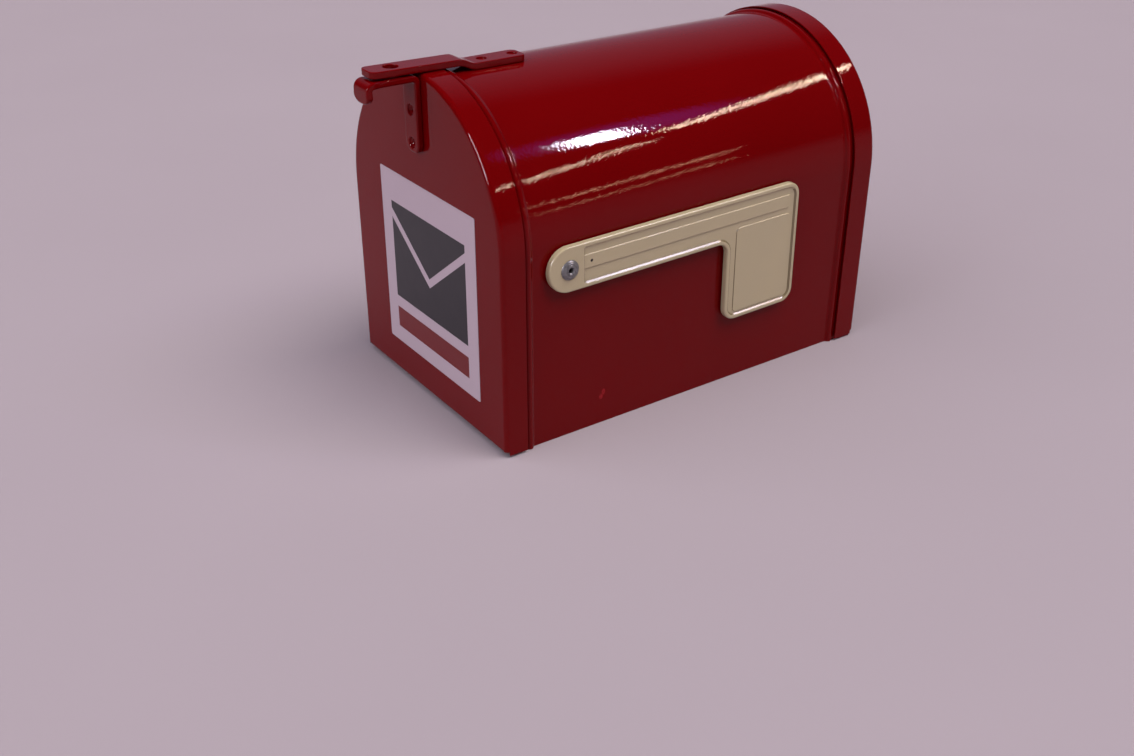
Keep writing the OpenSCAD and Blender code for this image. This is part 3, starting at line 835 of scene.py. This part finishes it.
def build_flag(flag):
    """The moulding: a slab with a sunk field, a rib along the arm and a panel on the leaf."""
    back, front = FLAG_LOW.x, FLAG_HIGH.x
    field = front - flag.recess
    root = field - 0.3 * MM
    rim_round, draft = 0.8 * MM, 0.85 * MM
    pivot_hole, through = 4.9 * MM, 5 * MM

    def spread(line, x):
        """Lays an outline on the flag at one depth."""
        return [flag_point(x, u, v, flag.tilt) for u, v in line]

    piece = draw_slab("flag", spread(flag_line(flag, 0), back), (front - back, 0, 0))
    two_finishes(piece)
    edit(piece)
    pick(piece, "EDGE", lambda co, run: near(co.x, front))
    bpy.ops.mesh.bevel(offset=rim_round, segments=5, affect="EDGES")
    # the sunk field, with sloping walls as the mould needs
    field_line = flag_line(flag, flag.rim_width - draft / 2, around_pivot=False)
    tray = draw_slab("tray", spread(field_line, front), (MM, 0, 0))
    edit(tray)
    pick(tray, "FACE", lambda co, normal: near(co.x, front) and abs(normal.x) > 0.9)
    bpy.ops.mesh.inset(thickness=draft, depth=flag.recess)
    # painted shade: these walls of the cutter become the sunk field's walls and take the darker
    # finish
    pick(tray, "FACE", lambda co, normal: abs(normal.x) < 0.95 and co.x < front
         and normal.z < 0.5)
    paint_groove_shade(tray)
    combine(piece, tray, "DIFFERENCE")
    # the rib along the arm
    start, end, low, high = flag.pad - MM / 2, flag.reach - 6 * MM, -1.8 * MM, 4.7 * MM
    rib = draw_slab("rib", spread([(start, low), (end, low), (end, high), (start, high)], root),
                    (0.8 * MM, 0, 0))
    edit(rib)
    # painted shade: the rib's face that faces down takes the darker finish
    pick(rib, "FACE", lambda co, normal: normal.z < -0.9)
    paint_groove_shade(rib)
    combine(piece, rib, "UNION")
    # the panel on the leaf
    left, right = flag.reach - flag.leaf_width + 5.8 * MM, flag.reach - 4.8 * MM
    low, high, corner = -flag.leaf_drop + 3.8 * MM, -5 * MM, 2 * MM
    panel = draw_slab("panel", spread(round_rectangle(left, low, right, high, corner, 6), root),
                      (0.7 * MM, 0, 0))
    edit(panel)
    # painted shade: the panel's face that faces down and its side towards the door take the
    # darker finish
    pick(panel, "FACE", lambda co, normal: normal.z < -0.9 or normal.y < -0.5)
    paint_groove_shade(panel)
    combine(piece, panel, "UNION")
    drill(piece, FLAG_PIVOT, (1, 0, 0), pivot_hole, through)
    soften(piece, 0.32 * MM, segments=3, limit=35)
    finish_piece(piece, "flag", ["signal_flag"], finish_for("flag"))


def build_flag_rivet():
    """The blind rivet that the flag turns on, and the broken stem that is left in its bore."""
    low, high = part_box("flag_rivet")
    where = Vector((low.x, FLAG_PIVOT.y, FLAG_PIVOT.z))
    face, top = (FLAG_HIGH.x - low.x) / MM + 0.02, (high.x - low.x) / MM
    outline = [(1.2, 0), (1.9, 0), (2.38, 0.4), (3.5, 0.6), (3.5, 2.9), (2.38, 3.0),
               (2.38, face), (4.55, face), (4.72, face + 0.15), (4.55, face + 0.42)]
    outline += [(4.1, face + 0.76), (3.75, face + 0.96), (3.6, face + 0.92), (3.4, face + 1.12),
                (2.95, top - 0.2), (2.75, top - 0.26), (2.55, top - 0.08), (2.0, top),
                (1.75, top - 0.04), (1.55, top - 0.3), (1.2, top - 0.6), (1.2, 0)]
    piece = lathe("flag_pivot_rivet", outline, where, (1, 0, 0))
    finish_piece(piece, "box", ["flag_rivet"], finish_for("zinc"))
    low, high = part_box("flag_rivet_stem")
    where, tall = Vector((low.x, FLAG_PIVOT.y, FLAG_PIVOT.z)), (high.x - low.x) / MM
    outline = [(0, 0), (0.9, 0.02), (1.3, 0.3), (1.78, 1.1), (1.75, 1.2), (1.14, 1.25),
               (1.14, tall - 0.25), (1.0, tall - 0.08), (0, tall - 0.02)]
    piece = lathe("flag_rivet_broken_stem", outline, where, (1, 0, 0))
    # painted shade: the stem's near black finish stands for the shade deep in the bore
    finish_piece(piece, "box", ["flag_rivet_stem"], finish_for("stem"))


def build_label():
    """Film label with small round corners, stuck on the door."""
    corner = 0.9 * MM
    line = round_rectangle(LABEL_LOW.x, LABEL_LOW.z, LABEL_HIGH.x, LABEL_HIGH.z, corner, 5)
    points = [Vector((x, LABEL_LOW.y, z)) for x, z in line]
    piece = draw_slab("envelope_label", points, (0, LABEL_HIGH.y - LABEL_LOW.y, 0))
    finish_piece(piece, "door", ["front_label"], finish_for("label"))


# ---- stage ----

STUDIO_AIM = Vector((0, 0, 0.12))


def pale_floor(finish):
    """Matt painted board. It gives a pale, even ground."""
    material, tree, spot = start_material("pale board, matt painted")
    cloud = add(tree, "ShaderNodeTexNoise", {"Vector": spot, "Scale": 1 / (220 * MM)})
    tone = add(tree, "ShaderNodeMix", {FACTOR: cloud, COLOUR_A: finish.floor,
                                       COLOUR_B: linear("#a89ca4")}, data_type="RGBA")
    shader = add(tree, "ShaderNodeBsdfPrincipled", {
        "Base Color": tone.outputs[COLOUR_RESULT], "Roughness": 0.9})
    add(tree, "ShaderNodeOutputMaterial", {"Surface": shader})
    return material


def lamp(name, middle, width, height, glow, tint, along):
    """A flat softbox of the given radiance that faces the box, for mirror images only.

    Its width runs along the last vector."""
    data = bpy.data.lights.new(name, "AREA")
    data.shape = "RECTANGLE"
    data.size = width
    data.size_y = height
    data.energy = glow * math.pi * width * height
    data.color = linear(tint)[:3]
    made = bpy.data.objects.new(name, data)
    bpy.context.scene.collection.objects.link(made)
    back = (Vector(middle) - STUDIO_AIM).normalized()
    side = (Vector(along) - back * back.dot(Vector(along))).normalized()
    turn = Matrix((side, back.cross(side), back)).transposed()
    made.matrix_world = Matrix.Translation(middle) @ turn.to_4x4()
    made.visible_diffuse = False


def strip(name, start, end, width, glow, tint):
    """A long narrow softbox between two points of the studio."""
    start, end = Vector(start), Vector(end)
    lamp(name, (start + end) / 2, (end - start).length, width, glow, tint, along=end - start)


def distant_softbox(name, way, strength, spread, tint):
    """An even light from far off. It lights matt colour and makes no mirror image."""
    data = bpy.data.lights.new(name, "SUN")
    data.energy = strength
    data.angle = math.radians(spread)
    data.color = linear(tint)[:3]
    made = bpy.data.objects.new(name, data)
    made.rotation_euler = Vector(way).to_track_quat("Z", "Y").to_euler()
    made.visible_glossy = False
    bpy.context.scene.collection.objects.link(made)


def build_floor(finish):
    """A broad floor, cut into squares, that the box stands on."""
    clear_selection()
    bpy.ops.mesh.primitive_plane_add(size=60, location=(0, 0, 0))
    floor = named("floor")
    edit(floor)
    bpy.ops.mesh.select_all(action="SELECT")
    bpy.ops.mesh.subdivide(number_cuts=3)
    clear_selection()
    floor.data.materials.append(pale_floor(finish))


def build_room():
    """A dim room with a pale wall far behind on the left, a low skyline and a lilac halo."""
    world = bpy.data.worlds.new("studio")
    bpy.context.scene.world = world
    world.use_nodes = True
    tree = world.node_tree
    tree.nodes.clear()
    way = add(tree, "ShaderNodeTexCoord").outputs["Generated"]

    def blob(middle, outside, inside):
        """1 towards a direction, 0 away from it, between two cosines."""
        facing = add(tree, "ShaderNodeVectorMath", {0: way, 1: Vector(middle).normalized()},
                     operation="DOT_PRODUCT")
        return add(tree, "ShaderNodeMapRange", {"Value": facing.outputs["Value"],
                                                "From Min": outside, "From Max": inside},
                   interpolation_type="SMOOTHSTEP")

    wall = blob((-0.81, 0.47, 0.34), outside=0.62, inside=0.93)
    tone = add(tree, "ShaderNodeMix", {FACTOR: wall, COLOUR_A: linear("#37323a"),
                                       COLOUR_B: linear("#94859a")}, data_type="RGBA")
    height = add(tree, "ShaderNodeSeparateXYZ", {0: way}).outputs["Z"]
    skyline = add(tree, "ShaderNodeMapRange", {"Value": height, "From Min": 0.02,
                                               "From Max": 0.12, "To Min": 1.0, "To Max": 0.0})
    tone = add(tree, "ShaderNodeMix", {FACTOR: skyline, COLOUR_A: tone.outputs[COLOUR_RESULT],
                                       COLOUR_B: linear("#a89ca6")}, data_type="RGBA")
    room = add(tree, "ShaderNodeBackground", {"Color": tone.outputs[COLOUR_RESULT]})
    halo = blob((0.45, 0.58, 0.68), outside=0.993, inside=0.9996)
    halo = add(tree, "ShaderNodeMath", {0: halo, 1: 3.4}, operation="MULTIPLY")
    halo = add(tree, "ShaderNodeBackground", {"Color": linear("#8a5cff"), "Strength": halo})
    both = add(tree, "ShaderNodeAddShader", {0: room, 1: halo})
    add(tree, "ShaderNodeOutputWorld", {"Surface": both})


def build_lamps():
    """Two distant lights for the colour, and the lamps that the enamel mirrors."""
    distant_softbox("key softbox", (0.41, 0.24, 0.88), strength=2.6, spread=45, tint="#fffaf4")
    distant_softbox("fill softbox", (-0.1, -0.74, 0.66), strength=2.0, spread=80,
                    tint="#faf6ff")
    strip("near long strip", (1.45, 0.75, 0.91), (1.138, 1.044, 1.104), width=0.016, glow=100,
          tint="#ffdcc0")
    strip("far long strip", (1.017, 1.094, 1.191), (0.493, 1.41, 1.322), width=0.028, glow=105,
          tint="#ffdcc0")
    strip("upper thin strip", (1.571, 0.85, 0.436), (1.378, 1.178, 0.551), width=0.009,
          glow=64, tint="#ffc8a0")
    strip("lower thin strip", (1.598, 0.85, 0.249), (1.42, 1.178, 0.387), width=0.007,
          glow=38, tint="#ffc8a0")
    strip("front strip", (-0.04, -1.53, 1.17), (0.54, -1.68, 0.67), width=0.3, glow=60,
          tint="#f8f4ff")
    lamp("window", (0.93, 0.98, 1.348), width=0.085, height=0.19, glow=300, tint="#f2ecff",
         along=(-0.052, 0.11, -0.031))


def build_camera():
    """A camera at the door's flag side that looks down on the box."""
    heading, dip, roll = 55.02, 28.89, 0.16
    data = bpy.data.cameras.new("camera")
    data.lens = 40.41
    data.sensor_width = 36.0
    data.clip_start = 0.01
    data.clip_end = 50.0
    camera = bpy.data.objects.new("camera", data)
    bpy.context.scene.collection.objects.link(camera)
    camera.location = (0.48807, -0.35971, 0.31595)
    turn = (Matrix.Rotation(math.radians(heading), 3, "Z")
            @ Matrix.Rotation(math.radians(90 - dip), 3, "X")
            @ Matrix.Rotation(math.radians(roll), 3, "Z"))
    camera.rotation_euler = turn.to_euler()
    bpy.context.scene.camera = camera


def build_stage(finish):
    """The floor, the room, the lamps and the camera."""
    build_floor(finish)
    build_room()
    build_lamps()
    build_camera()
    bpy.context.scene.view_settings.view_transform = "Standard"


# ---- operators ----

class MAILBOX_OT_stage(bpy.types.Operator):
    """Make the floor, the lights, the world and the camera"""
    bl_idname = "mailbox.stage"
    bl_label = "Stage"

    def execute(self, context):
        build_stage(context.scene.mailbox_finish)
        return {"FINISHED"}


class MAILBOX_OT_shell(bpy.types.Operator):
    """Build the folded shell with its two beads"""
    bl_idname = "mailbox.shell"
    bl_label = "Shell"

    def execute(self, context):
        build_shell(context.scene.mailbox_sheet)
        return {"FINISHED"}


class MAILBOX_OT_pans(bpy.types.Operator):
    """Build the pressed door and the pressed rear cap"""
    bl_idname = "mailbox.pans"
    bl_label = "Door and rear cap"

    def execute(self, context):
        sheet = context.scene.mailbox_sheet
        build_pan("door", "door", "door_pan", FRONT_Y, PAN_HIGH.y, sheet)
        build_pan("rear_panel", "box", "rear_cap", REAR_Y, CAP_LOW.y, sheet)
        return {"FINISHED"}


class MAILBOX_OT_straps(bpy.types.Operator):
    """Build the catch on the roof and the pull on the door"""
    bl_idname = "mailbox.straps"
    bl_label = "Catch and pull"

    def execute(self, context):
        build_catch(context.scene.mailbox_strap)
        build_pull(context.scene.mailbox_strap)
        return {"FINISHED"}


class MAILBOX_OT_strap_rivets(bpy.types.Operator):
    """Build the four tubular rivets of the catch and the pull"""
    bl_idname = "mailbox.strap_rivets"
    bl_label = "Strap rivets"

    def execute(self, context):
        build_strap_rivets()
        return {"FINISHED"}


class MAILBOX_OT_flag(bpy.types.Operator):
    """Build the moulded flag and the blind rivet it turns on"""
    bl_idname = "mailbox.flag"
    bl_label = "Flag"

    def execute(self, context):
        build_flag(context.scene.mailbox_flag)
        build_flag_rivet()
        return {"FINISHED"}


class MAILBOX_OT_label(bpy.types.Operator):
    """Build the printed film label on the door"""
    bl_idname = "mailbox.label"
    bl_label = "Label"

    def execute(self, context):
        build_label()
        return {"FINISHED"}


class MAILBOX_OT_inside(bpy.types.Operator):
    """Give the floor, the hinge and the washers inside the box their finishes"""
    bl_idname = "mailbox.inside"
    bl_label = "Inside parts"

    def execute(self, context):
        for node, finish in (("floor_panel", "enamel"), ("door_lug_left", "enamel"),
                             ("door_lug_right", "enamel"), ("hinge_rod", "steel"),
                             ("flag_backing_washer", "steel"), ("flag_spacer", "nylon")):
            for slot in frame["nodes"][node].material_slots:
                slot.material = finish_for(finish)
        return {"FINISHED"}


OPERATORS = (MAILBOX_OT_stage, MAILBOX_OT_shell, MAILBOX_OT_pans, MAILBOX_OT_straps,
             MAILBOX_OT_strap_rivets, MAILBOX_OT_flag, MAILBOX_OT_label, MAILBOX_OT_inside)
SETTINGS = {"mailbox_sheet": MailboxSheetSettings, "mailbox_strap": MailboxStrapSettings,
            "mailbox_flag": MailboxFlagSettings, "mailbox_finish": MailboxFinishSettings}


class MAILBOX_PT_panel(bpy.types.Panel):
    """Lists the steps that build the mailbox"""
    bl_idname = "MAILBOX_PT_panel"
    bl_label = "Mailbox"
    bl_space_type = "VIEW_3D"
    bl_region_type = "UI"
    bl_category = "Mailbox"

    def draw(self, context):
        for group, kind in SETTINGS.items():
            box = self.layout.box()
            for name in kind.__annotations__:
                box.prop(getattr(context.scene, group), name)
        for operator in OPERATORS:
            self.layout.operator(operator.bl_idname)


def register():
    for kind in (*SETTINGS.values(), *OPERATORS, MAILBOX_PT_panel):
        bpy.utils.register_class(kind)
    for group, kind in SETTINGS.items():
        setattr(bpy.types.Scene, group, PointerProperty(type=kind))


def unregister():
    for group in SETTINGS:
        delattr(bpy.types.Scene, group)
    for kind in (MAILBOX_PT_panel, *reversed(OPERATORS), *SETTINGS.values()):
        bpy.utils.unregister_class(kind)


def main():
    register()
    bpy.ops.mailbox.stage()
    bpy.ops.mailbox.shell()
    bpy.ops.mailbox.pans()
    bpy.ops.mailbox.straps()
    bpy.ops.mailbox.strap_rivets()
    bpy.ops.mailbox.flag()
    bpy.ops.mailbox.label()
    bpy.ops.mailbox.inside()
    clear_selection()


if __name__ == "__main__":
    main()
